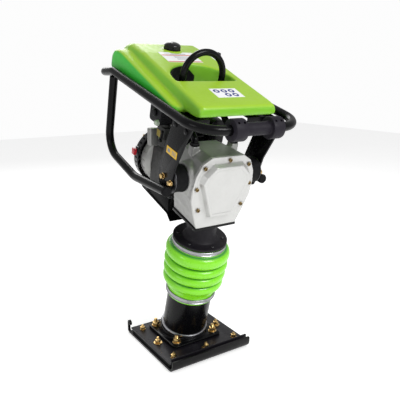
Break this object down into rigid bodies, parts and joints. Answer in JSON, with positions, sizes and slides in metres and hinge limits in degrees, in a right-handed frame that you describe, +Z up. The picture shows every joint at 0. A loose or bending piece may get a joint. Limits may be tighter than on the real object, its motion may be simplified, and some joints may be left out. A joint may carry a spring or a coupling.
{
  "type": "tamping rammer",
  "caption": "Upright petrol tamping rammer: flat steel shoe, leaning leg in a rubber bellows, cast gear case, engine, sloping tank in a tube handle, lifting bail and front roller.",
  "frame": {"origin": "middle of the shoe's flat sole, on the ground", "axes": "+Z up, -Y the machine's front, away from the operator, +X across the machine; the leg leans 16.5 degrees towards -Y"},
  "size_m": [0.3498, 0.6383, 0.9593],
  "materials": {
    "black_paint": "glossy black powder coat on steel",
    "shoe_black": "satin black paint, scuffed",
    "shoe_plate": "grey-black steel plate",
    "cast_aluminium": "silver-painted sand casting",
    "steel": "turned or rolled steel",
    "zinc_gold": "yellow zinc plate",
    "lime_rubber": "lime-green moulded rubber",
    "lime_plastic": "lime-green moulded plastic",
    "black_rubber": "matt black rubber",
    "black_plastic": "matt black plastic",
    "red_plastic": "red plastic",
    "ceramic": "white glazed ceramic"
  },
  "bodies": {
    "foot": {"shoe_sole": "shoe_black", "shoe_core": "black_rubber", "shoe_top_plate": "shoe_plate", "foot_casting": "black_paint", "foot_stud_front_left": "zinc_gold", "foot_stud_front_right": "zinc_gold", "foot_stud_rear_left": "zinc_gold", "foot_stud_rear_right": "zinc_gold", "foot_ring": "steel", "leg_tube": "black_paint", "spring_cap": "steel", "lower_spring": "steel", "upper_spring": "steel", "bellows": "lime_rubber", "lower_clamp": "steel"},
    "machine": {"upper_clamp": "steel", "guide_cylinder": "black_paint", "crankcase": "cast_aluminium", "gear_cover": "cast_aluminium", "drain_plug": "shoe_black", "shock_mount_left": "black_rubber", "shock_mount_right": "black_rubber", "lifting_bail": "black_paint", "crank_bearing": "steel", "drum_bearing": "steel", "clutch_housing": "cast_aluminium", "engine_block": "cast_aluminium", "engine_cylinder": "cast_aluminium", "cylinder_head": "cast_aluminium", "spark_plug": "ceramic", "fan_housing": "cast_aluminium", "recoil_cover": "black_plastic", "recoil_rope": "black_rubber", "air_filter": "black_plastic", "carburettor": "cast_aluminium", "muffler": "shoe_black", "skid_plate": "black_paint"},
    "ram": {"ram_rod": "steel", "ram_piston": "steel", "wrist_pin": "steel", "connecting_rod": "steel"},
    "crank": {"crank_gear": "steel"},
    "drum": {"clutch_drum": "steel"},
    "engine_shaft": {"crankshaft": "steel", "flywheel": "steel"},
    "pulley": {"recoil_pulley": "black_plastic"},
    "pull_grip": {"recoil_grip": "black_plastic"},
    "choke": {"choke_lever": "black_plastic"},
    "switch": {"stop_switch": "red_plastic"},
    "handle": {"handle_loop": "black_paint", "handle_arm_left": "black_paint", "handle_arm_right": "black_paint", "guard_tube_left": "black_paint", "guard_tube_right": "black_paint", "fuel_tank": "lime_plastic"},
    "throttle": {"throttle_lever": "black_plastic"},
    "roller": {"front_roller": "black_plastic"},
    "tap": {"fuel_tap": "black_plastic"},
    "gasket": {"cap_gasket": "black_rubber"},
    "cap": {"filler_cap": "black_plastic"}
  },
  "joints": [
    {"name": "foot_stroke", "type": "slide", "parent": "foot", "child": "machine", "axis": [0, -0.284, 0.9588], "range_m": [-0.02, 0.03], "stiffness_N_per_m": 40000, "springref_m": 0.0125, "deforming": ["bellows", "lower_spring", "upper_spring"]},
    {"name": "ram_stroke", "type": "slide", "parent": "machine", "child": "ram", "axis": [0, -0.284, 0.9588], "range_m": [0, 0.05]},
    {"name": "crank_turn", "type": "hinge", "parent": "machine", "child": "crank", "pos_m": [0, -0.11655, 0.58893], "axis": [0, 0.9588, 0.284], "continuous": true},
    {"name": "drum_turn", "type": "hinge", "parent": "machine", "child": "drum", "pos_m": [0, 0.07298, 0.57936], "axis": [0, 0.9588, 0.284], "continuous": true},
    {"name": "engine_turn", "type": "hinge", "parent": "machine", "child": "engine_shaft", "pos_m": [0, 0.07298, 0.57936], "axis": [0, 0.9588, 0.284], "continuous": true},
    {"name": "recoil_pull", "type": "slide", "parent": "machine", "child": "pull_grip", "axis": [0, 0.9588, 0.284], "range_m": [0, 0.45], "stiffness_N_per_m": 30, "springref_m": -0.1, "deforming": ["recoil_rope"]},
    {"name": "pulley_turn", "type": "hinge", "parent": "machine", "child": "pulley", "pos_m": [0, 0.15927, 0.60492], "axis": [0, 0.9588, 0.284], "range_deg": [0, 650]},
    {"name": "choke_tilt", "type": "hinge", "parent": "machine", "child": "choke", "pos_m": [-0.089, -0.00756, 0.6963], "axis": [1, 0, 0], "range_deg": [0, 60]},
    {"name": "switch_tilt", "type": "hinge", "parent": "machine", "child": "switch", "pos_m": [-0.102, 0.14659, 0.62307], "axis": [0, 0.9588, 0.284], "range_deg": [-10, 10]},
    {"name": "handle_sway", "type": "hinge", "parent": "machine", "child": "handle", "pos_m": [0, -0.14606, 0.58644], "axis": [1, 0, 0], "range_deg": [-2, 2], "stiffness_Nm_per_rad": 2500},
    {"name": "throttle_tilt", "type": "hinge", "parent": "handle", "child": "throttle", "pos_m": [0.163, 0.08177, 0.87712], "axis": [1, 0, 0], "range_deg": [-50, 0]},
    {"name": "roller_turn", "type": "hinge", "parent": "handle", "child": "roller", "pos_m": [0, -0.32669, 0.72797], "axis": [1, 0, 0], "continuous": true},
    {"name": "tap_turn", "type": "hinge", "parent": "handle", "child": "tap", "pos_m": [-0.1, -0.14718, 0.75924], "axis": [1, 0, 0], "range_deg": [0, 90]},
    {"name": "cap_lift", "type": "slide", "parent": "handle", "child": "gasket", "axis": [0, -0.284, 0.9588], "range_m": [0, 0.06]},
    {"name": "cap_turn", "type": "hinge", "parent": "gasket", "child": "cap", "pos_m": [0, 0.07283, 0.94956], "axis": [0, -0.284, 0.9588], "range_deg": [0, 90]}
  ],
  "couplings": [
    {"joint": "drum_turn", "follows": "crank_turn", "ratio": -5},
    {"joint": "pulley_turn", "follows": "recoil_pull", "rad_per_m": 25}
  ]
}
